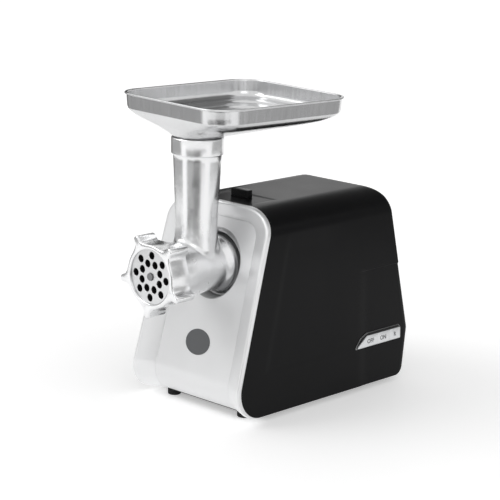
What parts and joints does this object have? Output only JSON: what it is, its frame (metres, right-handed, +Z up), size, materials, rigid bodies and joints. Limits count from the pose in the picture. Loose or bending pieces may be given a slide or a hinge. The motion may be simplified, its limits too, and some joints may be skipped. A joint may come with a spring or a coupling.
{
  "type": "electric meat grinder",
  "caption": "Countertop electric meat grinder with a leaning black housing, metal head with feed tube and tray, lugged ring nut, coarse cutting plate and side keys.",
  "frame": {"origin": "on the table under the middle of the bounding box", "axes": "+Z up, the cutting plate faces -Y, the keys are on the +X side"},
  "size_m": [0.1876, 0.3392, 0.3425],
  "materials": {
    "black_shell": "semi-gloss black",
    "black_part": "matt black",
    "rubber": "matt",
    "silver_paint": "satin silver",
    "dark_print": "matt grey",
    "dark_chrome": "polished",
    "steel": "plain",
    "cast_alloy": "polished",
    "tray_alloy": "brushed",
    "gear_plastic": "natural",
    "copper": "enamelled wire",
    "key_plastic": "pale grey"
  },
  "bodies": {
    "housing": {"upper_shell": "black_shell", "rear_cover": "black_part", "base_plate": "black_part", "rubber_feet": "rubber", "front_bezel": "silver_paint", "front_plate": "silver_paint", "blank_disc": "dark_print", "head_socket": "dark_chrome", "socket_screws": "steel", "gearbox_front": "black_part", "gearbox_rear": "black_part", "gearbox_screws": "steel", "base_screws": "steel", "stator_core": "steel", "field_coils": "copper", "motor_front": "steel", "motor_rear": "steel", "brush_holders": "copper", "switch_block": "black_part", "key_frame": "dark_chrome", "cord_gland": "black_part", "spring_seat": "black_part", "latch_spring": "steel"},
    "head": {"head_casting": "cast_alloy", "feed_tube": "cast_alloy", "cutting_plate": "steel"},
    "nut": {"ring_nut": "cast_alloy"},
    "hopper": {"tray": "tray_alloy"},
    "screw": {"feed_screw": "cast_alloy", "cross_knife": "steel", "drive_bush": "gear_plastic", "output_shaft": "steel", "output_gear": "gear_plastic"},
    "second": {"second_shaft": "steel", "second_gear": "gear_plastic"},
    "first": {"first_shaft": "steel", "first_gear": "gear_plastic"},
    "rotor": {"rotor_shaft": "steel", "rotor_core": "steel", "rotor_windings": "copper", "commutator": "copper", "cooling_fan": "black_part"},
    "off": {"off_key": "key_plastic"},
    "on": {"on_key": "key_plastic"},
    "reverse": {"reverse_key": "key_plastic"},
    "release": {"release_button": "black_part", "latch_slide": "steel"}
  },
  "joints": [
    {"name": "head_turn", "type": "hinge", "parent": "housing", "child": "head", "pos_m": [0, 0, 0.16], "axis": [0, 1, 0], "range_deg": [0, 40]},
    {"name": "nut_turn", "type": "hinge", "parent": "head", "child": "nut", "pos_m": [0, 0, 0.16], "axis": [0, 1, 0], "range_deg": [0, 540]},
    {"name": "tray_lift", "type": "slide", "parent": "head", "child": "hopper", "axis": [0, 0, 1], "range_m": [0, 0.06]},
    {"name": "screw_spin", "type": "hinge", "parent": "housing", "child": "screw", "pos_m": [0, 0, 0.16], "axis": [0, 1, 0], "continuous": true},
    {"name": "second_spin", "type": "hinge", "parent": "housing", "child": "second", "pos_m": [-0.02581, 0, 0.12314], "axis": [0, 1, 0], "continuous": true},
    {"name": "first_spin", "type": "hinge", "parent": "housing", "child": "first", "pos_m": [0.00491, 0, 0.10163], "axis": [0, 1, 0], "continuous": true},
    {"name": "rotor_spin", "type": "hinge", "parent": "housing", "child": "rotor", "pos_m": [-0.01031, 0, 0.069], "axis": [0, 1, 0], "continuous": true},
    {"name": "off_press", "type": "slide", "parent": "housing", "child": "off", "axis": [-1, 0, 0], "range_m": [0, 0.0025], "stiffness_N_per_m": 300, "springref_m": -0.003},
    {"name": "on_press", "type": "slide", "parent": "housing", "child": "on", "axis": [-1, 0, 0], "range_m": [0, 0.0025], "stiffness_N_per_m": 300, "springref_m": -0.003},
    {"name": "reverse_press", "type": "slide", "parent": "housing", "child": "reverse", "axis": [-1, 0, 0], "range_m": [0, 0.0025], "stiffness_N_per_m": 300, "springref_m": -0.003},
    {"name": "release_press", "type": "slide", "parent": "housing", "child": "release", "axis": [0, 0, -1], "range_m": [0, 0.004], "stiffness_N_per_m": 600, "springref_m": -0.003, "deforming": ["latch_spring"]}
  ],
  "couplings": [
    {"joint": "second_spin", "follows": "screw_spin", "ratio": -4},
    {"joint": "first_spin", "follows": "screw_spin", "ratio": 16},
    {"joint": "rotor_spin", "follows": "screw_spin", "ratio": -80}
  ]
}
